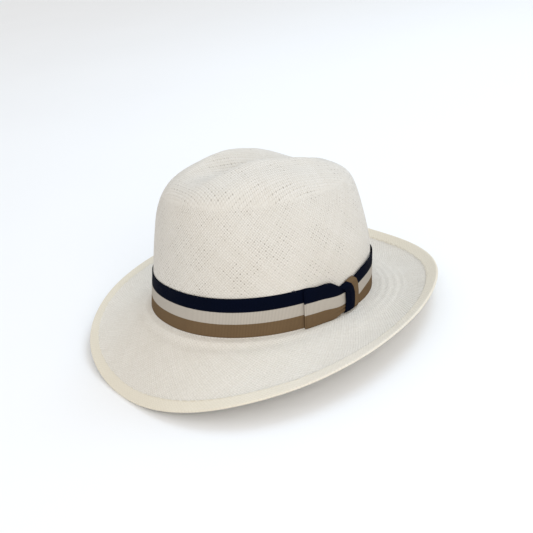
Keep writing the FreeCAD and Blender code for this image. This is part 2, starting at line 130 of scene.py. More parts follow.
def wall(angle, height, offset=0.0, bulge=BULGE):
    """Points at a height on the uncreased crown, offset outwards from the straw's outer face."""
    angle, height, offset = np.broadcast_arrays(np.asarray(angle, float), height, offset)
    along = np.sin(angle)
    end_taper = np.where(along < 0, TAPER_FRONT, TAPER_BACK)
    inset = height * np.tan(np.radians(TAPER_SIDE + (end_taper - TAPER_SIDE) * along ** 2))
    power = fullness(angle)
    spread = (1.0 - np.clip(height / CROWN_HEIGHT, 0.0, 1.0) ** power) ** (1.0 / power)
    x, y, normal_x, normal_y = oval(angle, -inset)
    around = bell(4.0 * np.sin(0.5 * (angle - BULGE_MIDDLE)) / BULGE_ARC)
    offset = offset + bulge * around * bell((height - BULGE_HEIGHT) / BULGE_SPREAD)
    return np.stack([x * spread + normal_x * offset, y * spread + normal_y * offset, height], -1)


def fullness(angle):
    """Power of the rounded shoulder: low is rounder, high is squarer."""
    return SIDE_FULLNESS + (END_FULLNESS - SIDE_FULLNESS) * np.abs(np.sin(angle)) ** FULLNESS_TURN


def crease_drop(x, y):
    """Fall of the top into the centre crease, less the rise of the ridge beside it."""
    half_width = CREASE_HALF_WIDTH * (1.0 + CREASE_SPREAD * y / CREASE_BACK)
    valley = 0.5 + 0.5 * np.cos(math.pi * np.clip(np.abs(x) / half_width, 0.0, 1.0))
    ridge = bell((np.abs(x) - half_width) / RIDGE_HALF_WIDTH)
    start = smooth_step((y + CREASE_FRONT) / CREASE_RUN_FRONT)
    end = smooth_step((CREASE_BACK - y) / CREASE_RUN_BACK)
    return (CREASE_DEPTH * valley - RIDGE_HEIGHT * ridge) * start * end


def dome_drop(x, y):
    """Fall of the top from its peak, with the back a little lower on the wearer's right."""
    fall = DOME_FALL * (np.hypot(y + DOME_FRONT, DOME_SOFT) ** DOME_POWER - DOME_SOFT ** DOME_POWER)
    return fall + BACK_DROP * smooth_step(-x / CREASE_HALF_WIDTH) * smooth_step(y / BACK_DROP_RUN)


def crown_point(angle, climb):
    """Outer face of the crown. climb is 0 at the break line and a right angle at the middle of the top."""
    power = fullness(angle)
    reach = (np.cos(climb) ** power + np.sin(climb) ** power) ** (-1.0 / power)
    rise = np.minimum(1.0, np.sin(climb) * reach)
    point = wall(angle, rise * CROWN_HEIGHT)
    x, y, z = point[..., 0], point[..., 1], point[..., 2]
    z = z - rise ** 4 * dome_drop(x, y)
    z = z - crease_drop(x, y) * smooth_step((rise - CREASE_STARTS) / CREASE_SETS_IN)
    near_pinch = bell(np.hypot((y + PINCH_FRONT) / PINCH_LENGTH, (z - PINCH_HEIGHT) / PINCH_RISE))
    dent = PINCH_DEPTH * near_pinch * smooth_step(np.abs(x) / PINCH_LENGTH)
    return np.stack([x - np.copysign(dent, x), y, z], -1)


def brim_width(angle):
    return BRIM_WIDTH - BRIM_WIDTH_FRONT * np.sin(angle) - BRIM_WIDTH_ENDS * np.cos(2 * angle)


def brim_point(angle, reach):
    """Upper face of the brim. reach runs from 0 at the break line to 1 at the edge."""
    edge_height = (EDGE_MEAN + EDGE_RAKE * np.sin(angle) + EDGE_ROLL * np.cos(2 * angle)
                   + EDGE_WAVE * np.cos(4 * angle))
    curl = CURL_MEAN + CURL_RAKE * np.sin(angle)
    run = np.sqrt(brim_width(angle) ** 2 - edge_height ** 2)
    x, y = oval(angle, run * reach)[:2]
    turned_up = np.maximum(0.0, (reach - CURL_START) / (1.0 - CURL_START)) ** CURL_POWER
    return np.stack([x, y, (edge_height - curl) * reach ** DROOP_POWER + curl * turned_up], -1)


# ---------------------------------------------------------------- meshes

def unit(vectors):
    return vectors / np.maximum(np.linalg.norm(vectors, axis=-1, keepdims=True), 1e-9)


def distances(line, closed=False):
    """Distance of each point of a line from its first. A closed line ends with its whole length."""
    if closed:
        line = np.concatenate([line, line[:1]])
    steps = np.linalg.norm(np.diff(line, axis=0), axis=-1)
    return np.concatenate([[0.0], np.cumsum(steps)])


def grid_faces(rows, columns, closed=True, rolled=False):
    """Quads of a grid of points, row by row. closed joins the last column to the first, rolled the rows."""
    faces = []
    for row in range(rows if rolled else rows - 1):
        next_row = (row + 1) % rows
        for column in range(columns if closed else columns - 1):
            right = (column + 1) % columns
            faces.append((row * columns + column, row * columns + right,
                          next_row * columns + right, next_row * columns + column))
    return faces


def grid_normals(points, closed=True):
    """Normals of a grid of points, on the side from which its columns run to the right, its rows up."""
    if closed:
        along = np.roll(points, -1, axis=1) - np.roll(points, 1, axis=1)
    else:
        along = np.gradient(points, axis=1)
    return unit(np.cross(along, np.gradient(points, axis=0)))


def add_mesh(name, points, faces, material, corner_uv=None, attributes=None):
    """A smooth mesh from points of the level hat. corner_uv has a pair for each corner of each face."""
    mesh = bpy.data.meshes.new(name)
    mesh.from_pydata([tuple(point) for point in np.asarray(points).reshape(-1, 3)], [], faces)
    for map_name, pairs in (corner_uv or {}).items():
        layer = mesh.uv_layers.new(name=map_name)
        layer.data.foreach_set("uv", np.asarray(pairs, np.float32).ravel())
    for attribute_name, values in (attributes or {}).items():
        layer = mesh.attributes.new(attribute_name, "FLOAT", "POINT")
        layer.data.foreach_set("value", np.asarray(values, np.float32).ravel())
    mesh.materials.append(material)
    mesh.transform(LEVEL_TO_ROW)
    mesh.polygons.foreach_set("use_smooth", [True] * len(mesh.polygons))
    mesh.update()
    piece = bpy.data.objects.new(name, mesh)
    bpy.context.scene.collection.objects.link(piece)
    return piece


def thick_sheet(outer, thickness, uv, closed=True):
    """Points, faces and corner UVs of a cloth sheet with rounded long edges, from its outer face."""
    rows, columns = outer.shape[:2]
    normals = grid_normals(outer, closed)
    half = 0.5 * thickness
    lower_lip = outer[0] + unit(outer[0] - outer[1]) * half - normals[0] * half
    upper_lip = outer[-1] + unit(outer[-1] - outer[-2]) * half - normals[-1] * half
    inner = outer - normals * thickness
    skin = np.concatenate([lower_lip[None], outer, upper_lip[None], inner[::-1]])
    skin_uv = np.concatenate([uv[:1], uv, uv[-1:], uv[::-1]]).reshape(-1, 2)
    total = len(skin)
    faces = grid_faces(total, columns, closed, rolled=True)
    whole_round = 2.0 * uv[0, -1, 0] - uv[0, -2, 0]
    pairs = []
    for face in faces:
        corners = [tuple(skin_uv[corner]) for corner in face]
        if face[1] % columns == 0:
            corners[1] = (whole_round, corners[1][1])
            corners[2] = (whole_round, corners[2][1])
        pairs.extend(corners)
    if not closed:
        for column, order in ((0, 1), (columns - 1, -1)):
            for row in range(1, rows):
                end = [corner * columns + column for corner in (row, row + 1, total - row - 1, total - row)]
                faces.append(tuple(end[::order]))
                pairs.extend([tuple(skin_uv[end[0]])] * 4)
    return skin, faces, pairs


# ---------------------------------------------------------------- materials

def new_material(name):
    material = bpy.data.materials.new(name)
    material.use_nodes = True
    tree = material.node_tree
    return material, tree, tree.nodes["Principled BSDF"]


def link(tree, source, target):
    tree.links.new(source, target)


def maths(tree, operation, *values, clamp=False):
    """A Math node. Each value is a socket or a number."""
    node = tree.nodes.new("ShaderNodeMath")
    node.operation = operation
    node.use_clamp = clamp
    for index, value in enumerate(values):
        if isinstance(value, (int, float)):
            node.inputs[index].default_value = value
        else:
            link(tree, value, node.inputs[index])
    return node.outputs[0]


def ramp(tree, value, low, high, out_low=0.0, out_high=1.0):
    """value mapped smoothly from low..high to out_low..out_high."""
    node = tree.nodes.new("ShaderNodeMapRange")
    node.interpolation_type = "SMOOTHSTEP"
    limits = {"From Min": low, "From Max": high, "To Min": out_low, "To Max": out_high}
    for name, number in limits.items():
        node.inputs[name].default_value = number
    link(tree, value, node.inputs["Value"])
    return node.outputs["Result"]


def mix_colour(tree, factor, first, second, blend="MIX"):
    node = tree.nodes.new("ShaderNodeMix")
    node.data_type = "RGBA"
    node.blend_type = blend
    for name, value in (("Factor", factor), ("A", first), ("B", second)):
        socket = next(item for item in node.inputs if item.name == name
                      and item.type == ("VALUE" if name == "Factor" else "RGBA"))
        if isinstance(value, (int, float)):
            socket.default_value = value
        elif isinstance(value, tuple):
            socket.default_value = (*value, 1.0)
        else:
            link(tree, value, socket)
    return next(item for item in node.outputs if item.type == "RGBA")


def noise(tree, vector, scale, detail=2.0, roughness=0.5):
    node = tree.nodes.new("ShaderNodeTexNoise")
    node.inputs["Scale"].default_value = scale
    node.inputs["Detail"].default_value = detail
    node.inputs["Roughness"].default_value = roughness
    link(tree, vector, node.inputs["Vector"])
    return node.outputs["Fac"]


def white_noise(tree, x, y):
    joined = tree.nodes.new("ShaderNodeCombineXYZ")
    link(tree, x, joined.inputs["X"])
    link(tree, y, joined.inputs["Y"])
    node = tree.nodes.new("ShaderNodeTexWhiteNoise")
    node.noise_dimensions = "2D"
    link(tree, joined.outputs[0], node.inputs["Vector"])
    return node.outputs["Value"]


def uv_map(tree, name):
    node = tree.nodes.new("ShaderNodeUVMap")
    node.uv_map = name
    return node.outputs["UV"]


def object_place(tree):
    return tree.nodes.new("ShaderNodeTexCoord").outputs["Object"]


def attribute(tree, name):
    node = tree.nodes.new("ShaderNodeAttribute")
    node.attribute_name = name
    return node.outputs["Fac"]


def bump(tree, shader, height, distance):
    node = tree.nodes.new("ShaderNodeBump")
    node.inputs["Distance"].default_value = distance
    link(tree, height, node.inputs["Height"])
    link(tree, node.outputs["Normal"], shader.inputs["Normal"])


def split(tree, vector):
    node = tree.nodes.new("ShaderNodeSeparateXYZ")
    link(tree, vector, node.inputs[0])
    return node.outputs["X"], node.outputs["Y"]


def one_less(tree, value):
    return maths(tree, "SUBTRACT", 1.0, value)


def blend(tree, share, first, second):
    """first where share is 0 and second where it is 1."""
    return maths(tree, "ADD", maths(tree, "MULTIPLY", first, one_less(tree, share)),
                 maths(tree, "MULTIPLY", second, share))


SMALLEST_HOLE, LARGEST_HOLE = 0.22, 0.44  # radius, in sides of a diamond
ODD_HOLES_SMALLER = 0.65  # three of four holes are smaller by this share


def weave(tree, cells):
    """Height, gap and straw tone of a plain weave laid diagonally over cells, a map in whole diamonds."""
    across, up = split(tree, cells)
    first, second = maths(tree, "ADD", across, up), maths(tree, "SUBTRACT", across, up)
    first_part, second_part = maths(tree, "FRACT", first), maths(tree, "FRACT", second)
    first_cell, second_cell = maths(tree, "FLOOR", first), maths(tree, "FLOOR", second)
    parity = maths(tree, "FLOORED_MODULO", maths(tree, "ADD", first_cell, second_cell), 2.0)

    lengthways = blend(tree, parity, first_part, second_part)
    crossways = blend(tree, parity, second_part, first_part)
    arch = maths(tree, "SINE", maths(tree, "MULTIPLY", lengthways, math.pi))
    from_middle = maths(tree, "ABSOLUTE", maths(tree, "MULTIPLY_ADD", crossways, 2.0, -1.0))
    flat_top = one_less(tree, maths(tree, "POWER", from_middle, 3.0))
    height = maths(tree, "MULTIPLY", flat_top, maths(tree, "MULTIPLY_ADD", arch, 0.6, 0.4))

    def to_corner(part):
        return maths(tree, "POWER", maths(tree, "MINIMUM", part, one_less(tree, part)), 2.0)

    corner = maths(tree, "SQRT", maths(tree, "ADD", to_corner(first_part), to_corner(second_part)))
    first_corner, second_corner = maths(tree, "ROUND", first), maths(tree, "ROUND", second)
    odd = maths(tree, "MAXIMUM", maths(tree, "FLOORED_MODULO", first_corner, 2.0),
                maths(tree, "FLOORED_MODULO", second_corner, 2.0))
    hole = ramp(tree, white_noise(tree, first_corner, second_corner), 0.0, 1.0, SMALLEST_HOLE, LARGEST_HOLE)
    hole = maths(tree, "MULTIPLY", hole, one_less(tree, maths(tree, "MULTIPLY", odd, ODD_HOLES_SMALLER)))
    gap = maths(tree, "SUBTRACT", 1.0, maths(tree, "DIVIDE", corner, hole), clamp=True)
    straw = blend(tree, parity, maths(tree, "ADD", second_cell, 0.25), maths(tree, "ADD", first_cell, 100.5))
    return height, gap, white_noise(tree, straw, parity)


# The brim's straw is painted lighter than the crown's: painted light, for the stronger top light on its
# upward face.
CROWN_STRAW = ((0.70, 0.66, 0.595), (0.73, 0.695, 0.635))
BRIM_STRAW_WITH_PAINTED_LIGHT = ((0.765, 0.72, 0.64), (0.79, 0.75, 0.68))
EDGE_STRAW = ((0.735, 0.665, 0.525), (0.765, 0.70, 0.565))
STRAW_TONES = ((0.93, 0.92, 0.90), (1.0, 1.0, 1.0))
# Painted shade: the valley colour darkens the low parts between straws, and the hole colour stands for the
# shaded inside seen through holes.
STRAW_VALLEY_SHADE, STRAW_HOLE_SHADE = (0.48, 0.42, 0.33), (0.16, 0.12, 0.08)
STRAW_RELIEF = 0.00032


def straw_material():
    material, tree, shader = new_material("woven_straw")
    ring = weave(tree, uv_map(tree, "weave_ring"))
    flat = weave(tree, uv_map(tree, "weave_top"))
    top = attribute(tree, "top")
    height, gap, tone = (blend(tree, top, on_ring, on_top) for on_ring, on_top in zip(ring, flat))
    place = object_place(tree)
    edge_distance = attribute(tree, "edge_distance")
    jagged = maths(tree, "MULTIPLY_ADD", noise(tree, place, 420.0, 1.0), 2.4, -1.2)
    fold = ramp(tree, maths(tree, "ADD", edge_distance, jagged), FOLD_WIDTH - 0.1, FOLD_WIDTH - 0.8)
    on_brim = ramp(tree, edge_distance, 150.0, 40.0)
    patches = ramp(tree, noise(tree, place, 55.0, 2.0), 0.42, 0.62, 0.12, 1.0)
    gap = maths(tree, "MULTIPLY", maths(tree, "MULTIPLY", gap, patches), one_less(tree, fold))
    gap = maths(tree, "MULTIPLY", gap, one_less(tree, maths(tree, "MULTIPLY", on_brim, 0.8)))

    blotches = noise(tree, place, 22.0, 3.0)
    # Painted light: the brim takes the lighter straw, for the top light on its upward face.
    colour = mix_colour(tree, on_brim, mix_colour(tree, blotches, *CROWN_STRAW),
                        mix_colour(tree, blotches, *BRIM_STRAW_WITH_PAINTED_LIGHT))
    colour = mix_colour(tree, 0.75, colour, mix_colour(tree, tone, *STRAW_TONES), "MULTIPLY")
    fold_cream = maths(tree, "MULTIPLY", fold, maths(tree, "MULTIPLY", attribute(tree, "fold_tone"), 0.8))
    colour = mix_colour(tree, fold_cream, colour, mix_colour(tree, blotches, *EDGE_STRAW))
    # Painted shade between the straws and in the weave's holes.
    colour = mix_colour(tree, ramp(tree, height, 0.0, 0.55, 0.2, 0.0), colour, STRAW_VALLEY_SHADE)
    colour = mix_colour(tree, maths(tree, "MULTIPLY", gap, 0.75), colour, STRAW_HOLE_SHADE)
    link(tree, colour, shader.inputs["Base Color"])

    fine = noise(tree, place, 2600.0, 2.0)
    link(tree, ramp(tree, fine, 0.2, 0.8, 0.56, 0.74), shader.inputs["Roughness"])
    shader.inputs["Specular IOR Level"].default_value = 0.35
    shader.inputs["Sheen Weight"].default_value = 0.08
    shader.inputs["Sheen Roughness"].default_value = 0.5
    relief = maths(tree, "MULTIPLY", height, one_less(tree, maths(tree, "MULTIPLY", fold, 0.45)))
    relief = maths(tree, "ADD", relief, maths(tree, "MULTIPLY", gap, -0.5))
    relief = maths(tree, "ADD", relief, maths(tree, "MULTIPLY", fine, 0.12))
    bump(tree, shader, maths(tree, "ADD", relief, fold), STRAW_RELIEF)
    return material


NAVY = (0.0016, 0.0030, 0.0100)
OFF_WHITE = (0.50, 0.455, 0.395)
KHAKI = (0.160, 0.104, 0.056)
RIB, RIB_THREADS = 1.2, 46  # millimetres of one rib, and threads across the ribbon
STRIPE_BLUR = 0.006
RIB_SHADE = (0.42, 0.42, 0.42)
RIBBON_RELIEF = 0.00016


def shades(colour, darkest, lightest):
    return tuple(darkest * part for part in colour), tuple(lightest * part for part in colour)


def ribbon_material():
    """Ribbed grosgrain. Its map holds the length in millimetres and the share of the width."""
    material, tree, shader = new_material("striped_ribbon")
    length, across = split(tree, uv_map(tree, "ribbon"))
    place = object_place(tree)
    wobble = maths(tree, "MULTIPLY_ADD", noise(tree, place, 500.0, 1.0), STRIPE_BLUR, -0.5 * STRIPE_BLUR)
    share = maths(tree, "ADD", across, wobble)
    fade = noise(tree, place, 60.0, 3.0)
    khaki = mix_colour(tree, fade, *shades(KHAKI, 0.9, 1.12))
    white = mix_colour(tree, fade, *shades(OFF_WHITE, 0.94, 1.0))
    navy = mix_colour(tree, fade, *shades(NAVY, 0.8, 1.3))
    is_white = ramp(tree, share, KHAKI_PART - STRIPE_BLUR, KHAKI_PART + STRIPE_BLUR)
    is_navy = ramp(tree, share, WHITE_PART - STRIPE_BLUR, WHITE_PART + STRIPE_BLUR)
    colour = mix_colour(tree, is_navy, mix_colour(tree, is_white, khaki, white), navy)
    rib = maths(tree, "ABSOLUTE", maths(tree, "SINE", maths(tree, "MULTIPLY", length, math.pi / RIB)))
    thread = maths(tree, "SINE", maths(tree, "MULTIPLY", across, RIB_THREADS * math.pi))
    shaded = mix_colour(tree, 1.0, colour, RIB_SHADE, "MULTIPLY")
    colour = mix_colour(tree, ramp(tree, rib, 0.0, 0.65, 0.6, 0.0), colour, shaded)
    link(tree, colour, shader.inputs["Base Color"])
    link(tree, ramp(tree, fade, 0.3, 0.7, 0.62, 0.76), shader.inputs["Roughness"])
    shader.inputs["Specular IOR Level"].default_value = 0.02
    thread = maths(tree, "MULTIPLY", maths(tree, "ABSOLUTE", thread), 0.25)
    bump(tree, shader, maths(tree, "ADD", rib, thread), RIBBON_RELIEF)
    return material


LEATHER_TANS = ((0.30, 0.155, 0.070), (0.42, 0.235, 0.115))
LEATHER_PORE = (0.14, 0.065, 0.03)
LEATHER_RELIEF, THREAD_RELIEF = 0.00012, 0.0001


def leather_material():
    material, tree, shader = new_material("sweatband_leather")
    place = object_place(tree)
    cells = tree.nodes.new("ShaderNodeTexVoronoi")
    cells.feature = "DISTANCE_TO_EDGE"
    cells.inputs["Scale"].default_value = 900.0
    link(tree, place, cells.inputs["Vector"])
    grain = ramp(tree, cells.outputs["Distance"], 0.0, 0.25)
    stain = noise(tree, place, 30.0, 4.0)
    colour = mix_colour(tree, stain, *LEATHER_TANS)
    colour = mix_colour(tree, ramp(tree, grain, 0.0, 1.0, 0.3, 0.0), colour, LEATHER_PORE)
    link(tree, colour, shader.inputs["Base Color"])
    link(tree, ramp(tree, stain, 0.3, 0.7, 0.42, 0.56), shader.inputs["Roughness"])
    bump(tree, shader, maths(tree, "ADD", grain, maths(tree, "MULTIPLY", stain, 2.0)), LEATHER_RELIEF)
    return material


def thread_material(name, light, dark, roughness, twist):
    """Twisted thread, woven tape or satin: fine diagonal lines over a slightly uneven colour."""
    material, tree, shader = new_material(name)
    place = object_place(tree)
    lines = tree.nodes.new("ShaderNodeTexWave")
    lines.wave_type = "BANDS"
    lines.bands_direction = "DIAGONAL"
    lines.inputs["Scale"].default_value = twist
    lines.inputs["Distortion"].default_value = 1.0
    link(tree, place, lines.inputs["Vector"])
    uneven = noise(tree, place, 160.0, 3.0)
    colour = mix_colour(tree, uneven, light, dark)
    colour = mix_colour(tree, maths(tree, "MULTIPLY", lines.outputs["Fac"], 0.3), colour, dark)
    link(tree, colour, shader.inputs["Base Color"])
    rough = ramp(tree, uneven, 0.2, 0.8, roughness - 0.06, roughness + 0.06)
    link(tree, rough, shader.inputs["Roughness"])
    bump(tree, shader, lines.outputs["Fac"], THREAD_RELIEF)
    return material


def floor_material():
    material, tree, shader = new_material("studio_floor")
    place = object_place(tree)
    colour = mix_colour(tree, noise(tree, place, 3.0, 2.0), (0.90, 0.90, 0.90), (0.93, 0.93, 0.93))
    link(tree, colour, shader.inputs["Base Color"])
    shader.inputs["Roughness"].default_value = 0.8
    shader.inputs["Specular IOR Level"].default_value = 0.2
    return material


# ---------------------------------------------------------------- the woven straw

COLUMNS = 288
CROWN_ROWS, BEND_ROWS, BRIM_ROWS = 112, 5, 62
FIRST_BRIM_ROW = CROWN_ROWS + BEND_ROWS
OUTER_ROWS = FIRST_BRIM_ROW + BRIM_ROWS
INNER_ROWS = range(OUTER_ROWS - 1, -1, -2)  # the inner face takes every other row, from the edge inwards
EDGE_TURNS = np.radians([30.0, 60.0, 90.0, 120.0, 150.0])
POLE_GAP = 0.004
FAR_FROM_EDGE = 200.0
FOLD_STEP = 0.45
PRESSED_STEP_SIDE, RIPPLE_SIDE = -75.0, 45.0  # degrees from the hat's left side
RIPPLE_HEIGHT, RIPPLE_SPACING, RIPPLE_FADE = 0.2, 6.5, 22.0
EVEN_NEAR_BREAK, EVEN_NEAR_POLE = 25.0, 30.0
TOP_WEAVE_STARTS, TOP_WEAVE_BLEND = 103.0, 5.0  # travel from the break line to the flat weave of the top
PALE_FOLD, PALE_FOLD_SIDE, PALE_FOLD_SPREAD = 0.6, -5.0, 38.0
CROWN_DIAMONDS, BRIM_DIAMONDS, MORE_DIAMONDS = 212, 228, 26.7  # round the hat, and more in each brim ring
RING_WIDTH, LAST_RING = 12.0, 4


def unevenness(angle, travel):
    """Slight waves of hand-shaped straw, in millimetres. travel is the distance from the break line."""
    broad = 0.16 * np.sin(5 * angle + 0.06 * travel) + 0.10 * np.sin(3 * angle + 0.13 * travel + 0.7)
    narrow = 0.12 * np.sin(9 * angle - 0.09 * travel + 1.3) + 0.07 * np.sin(14 * angle + 0.17 * travel + 2.1)
    return broad + narrow


def brim_ripples(side, distance):
    """Folds pressed into the brim where it leaves the crown: a step in front, faint rings behind the bow."""
    step = 0.7 * bell((distance - 3.5) / 2.5) - 0.9 * bell((distance - 9.0) / 3.5)
    fade = smooth_step((distance - 2.0) / 6.0) * (1.0 - smooth_step((distance - RIPPLE_FADE) / 14.0))
    rings = RIPPLE_HEIGHT * np.sin(2.0 * math.pi * distance / RIPPLE_SPACING) * fade
    return step * bell((side - PRESSED_STEP_SIDE) / 55.0) + rings * bell((side - RIPPLE_SIDE) / 35.0)


def straw_rows(angle):
    """Smooth outer face from the middle of the top to the brim's edge, and the brim's reaches."""
    low_climb = math.atan(BREAK_RADIUS / CROWN_HEIGHT)
    crown = crown_point(angle, np.linspace(math.pi / 2 - POLE_GAP, low_climb, CROWN_ROWS)[:, None])
    reaches = np.linspace(BREAK_RADIUS / BRIM_WIDTH, 1.0, BRIM_ROWS)[:, None]
    brim = brim_point(angle, reaches)
    turn = np.linspace(0.0, 1.0, BEND_ROWS + 2)[1:-1, None, None]
    bend = (1 - turn) ** 2 * crown[-1] + 2 * turn * (1 - turn) * wall(angle, 0.0) + turn ** 2 * brim[0]
    return np.concatenate([crown, bend, brim]), reaches


def over_skin(values):
    """Values of the outer rows carried on round the edge and back along the inner face."""
    return np.concatenate([values, np.repeat(values[-1:], len(EDGE_TURNS), 0), values[INNER_ROWS]])


def straw_skin(rows, edge_distance):
    """Outer face with its step at the turned edge, the rounded edge, and the inner face."""
    normals = -grid_normals(rows)
    past_fold = FOLD_WIDTH - edge_distance
    rows = rows + normals * (FOLD_STEP * smooth_step(past_fold / 0.8 + 0.5))[..., None]
    thickness = (STRAW + FOLD_THICKNESS * smooth_step(past_fold / 2.4 + 0.5))[..., None]
    edge, half = rows[-1], 0.5 * thickness[-1]
    outward = unit(edge - rows[-2])
    rounding = [edge + outward * half * math.sin(turn) - normals[-1] * half * (1.0 - math.cos(turn))
                for turn in EDGE_TURNS]
    inner = (rows - normals * thickness)[INNER_ROWS]
    return rows, np.concatenate([rows, np.array(rounding), inner])


def diamonds_round(travel):
    """Diamonds of the weave round the hat, an even number, at a distance from the break line."""
    if travel < 0.0:
        return CROWN_DIAMONDS
    ring = min(int(travel / RING_WIDTH), LAST_RING)
    return 2 * round(0.5 * (BRIM_DIAMONDS + ring * MORE_DIAMONDS))


def weave_maps(faces, travel, planar):
    """Maps in diamonds for each corner: rings round crown and brim, and the flat weave of the top."""
    rings, tops = [], []
    for face in faces:
        real = [corner for corner in face if corner < len(travel)]
        diamonds = diamonds_round(float(travel[real].mean()))
        columns = [corner % COLUMNS for corner in face]
        wraps = len(face) == 4 and max(columns[:2]) == COLUMNS - 1 and min(columns) == 0
        for corner, column in zip(face, columns):
            if corner not in real:
                rings.append((0.0, 0.0))
                tops.append((0.0, 0.0))
                continue
            turn = COLUMNS if wraps and column == 0 else column
            rings.append((diamonds * turn / COLUMNS, travel[corner] / WEAVE))
            tops.append(tuple(planar[corner] / WEAVE))
    return {"weave_ring": rings, "weave_top": tops}


def make_straw():
    angle = np.linspace(0.0, 2.0 * math.pi, COLUMNS, endpoint=False)[None, :]
    rows, reaches = straw_rows(angle)
    travel = np.stack([distances(column) for column in rows.transpose(1, 0, 2)], 1)
    travel = travel - travel[FIRST_BRIM_ROW]
    from_pole = np.hypot(rows[..., 0], rows[..., 1])
    fade = smooth_step(np.abs(travel) / EVEN_NEAR_BREAK) * smooth_step(from_pole / EVEN_NEAR_POLE)
    ripples = np.where(travel > 0.0, brim_ripples(degrees_from_left(angle), travel), 0.0)
    rows = rows - grid_normals(rows) * (unevenness(angle, travel) * fade + ripples)[..., None]
    on_crown = np.full((FIRST_BRIM_ROW, COLUMNS), FAR_FROM_EDGE)
    edge_distance = np.concatenate([on_crown, (1.0 - reaches) * brim_width(angle)])
    rows, skin = straw_skin(rows, edge_distance)

    points = np.concatenate([skin.reshape(-1, 3), skin[0].mean(0)[None], skin[-1].mean(0)[None]])
    top_pole, inner_pole = len(points) - 2, len(points) - 1
    last_row = top_pole - COLUMNS
    faces = grid_faces(len(skin), COLUMNS)
    for column in range(COLUMNS):
        right = (column + 1) % COLUMNS
        faces.append((top_pole, right, column))
        faces.append((inner_pole, last_row + column, last_row + right))
    faces = [face[::-1] for face in faces]

    skin_travel = over_skin(travel)
    x, y = over_skin(rows[..., 0]).ravel(), over_skin(rows[..., 1]).ravel()
    diagonal = np.stack([x + y, y - x], -1) / math.sqrt(2.0)
    pale_fold = PALE_FOLD * bell((degrees_from_left(angle) - PALE_FOLD_SIDE) / PALE_FOLD_SPREAD)
    on_top = smooth_step((-skin_travel - TOP_WEAVE_STARTS) / TOP_WEAVE_BLEND)
    attributes = {
        "top": np.append(on_top, [1.0, 1.0]),
        "fold_tone": np.append(np.repeat(1.0 - pale_fold, len(skin), 0), [1.0, 1.0]),
        "edge_distance": np.append(over_skin(edge_distance), [FAR_FROM_EDGE, FAR_FROM_EDGE]),
    }
    maps = weave_maps(faces, skin_travel.ravel(), diagonal)
    straw = add_mesh("woven_straw_hat", points, faces, straw_material(), maps, attributes)
    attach(straw, "root")
    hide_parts("hat_body")


# ---------------------------------------------------------------- ribbon, bow and knot

BOW_START, BOW_END = -14.4, 10.0  # degrees from the hat's left side
BOW_STAND_OFF, BOW_PUFF = 2.9, 0.9
BOW_TOP, NAVY_LINE, WHITE_LINE, BOW_FOOT = 31.8, 20.8, 11.2, 0.2
BACK_LAYER_OFFSET, BACK_LAYER_THICKNESS, TURN_RADIUS = 1.55, 0.4, 0.65
KNOT_FOOT, KNOT_TOP, KNOT_TOP_RISE = 1.5, 24.6, 3.4
GATHER, SAG, TUCK_UNDER_KNOT = 9.5, 2.2, 2.2


def soft_positive(value, softness):
    return 0.5 * (value + np.sqrt(value ** 2 + softness ** 2))


def add_ribbon(name, outer, thickness, length, share, closed=False):
    """A piece of the striped ribbon. length is in millimetres, share runs across the ribbon."""
    uv = np.stack(np.broadcast_arrays(length, share), -1)
    points, faces, pairs = thick_sheet(outer, thickness, uv, closed)
    piece = add_mesh(name, points, faces, ribbon, {"ribbon": pairs})
    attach(piece, "root")
    return piece


def band_upper(side):
    """Height of the ribbon's upper edge: the knot gathers it and it sags a little behind the knot."""
    before = 0.15 * smooth_step((side + 13.0) / 7.0) + 0.85 * smooth_step((side + 2.0) / 8.0)
    behind = np.exp(-np.maximum(0.0, side - 13.0) / 9.0)
    sag = SAG * smooth_step((side - 35.0) / 30.0) * (1.0 - smooth_step((side - 110.0) / 50.0))
    return BAND_LOWER + BAND_WIDTH - GATHER * before * behind - sag + 0.25 * np.sin(np.radians(3.0 * side))


def make_band():
    angle = np.linspace(0.0, 2.0 * math.pi, 640, endpoint=False)[None, :]
    side = degrees_from_left(angle)
    share = np.linspace(0.0, 1.0, 22)[:, None]
    height = BAND_LOWER + (band_upper(side) - BAND_LOWER) * share
    tuck = bell((side - 19.5) / 7.0) * np.sin(math.pi * np.clip(share / 0.7, 0.0, 1.0))
    stand_off = 1.2 * smooth_step((side + 5.0) / 20.0) * (1.0 - smooth_step((side - 25.0) / 90.0))
    ripple = 0.12 * np.sin(np.radians(7.0 * side) + 2.0 * share) * share
    offset = RIBBON_GAP + RIBBON + stand_off * share ** 1.3 + ripple
    outer = wall(angle, height - TUCK_UNDER_KNOT * tuck, offset)
    length = distances(outer[0], closed=True)
    stretch = round(length[-1]) / length[-1]
    band = add_ribbon("striped_band", outer, RIBBON, length[None, :-1] * stretch, share, closed=True)
    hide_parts("hat_band")


def bow_height(side, share):
    """Height of the bow's ribbon, gathered towards the knot, mostly in its upper stripe."""
    upper = BOW_TOP - 9.6 * soft_positive(side - 0.8, 1.5) / 7.8
    navy_line = NAVY_LINE - 2.4 * smooth_step((side + 8.0) / 17.0)
    white_line = WHITE_LINE - 2.6 * smooth_step((side + 6.0) / 14.5)
    lower = BOW_FOOT + 3.2 * smooth_step(side / 9.0)
    height = lower
    for first, last, low, high in ((0.0, KHAKI_PART, lower, white_line),
                                   (KHAKI_PART, WHITE_PART, white_line, navy_line),
                                   (WHITE_PART, 1.0, navy_line, upper)):
        part = np.clip((share - first) / (last - first), 0.0, 1.0)
        height = np.where(share >= first, low + (high - low) * part, height)
    return height


def bow_slant(share, part=0.0):
    """Degrees by which the folded end of the bow leans, none at the knot."""
    return 0.9 * (share - 0.5) * (1.0 - part)


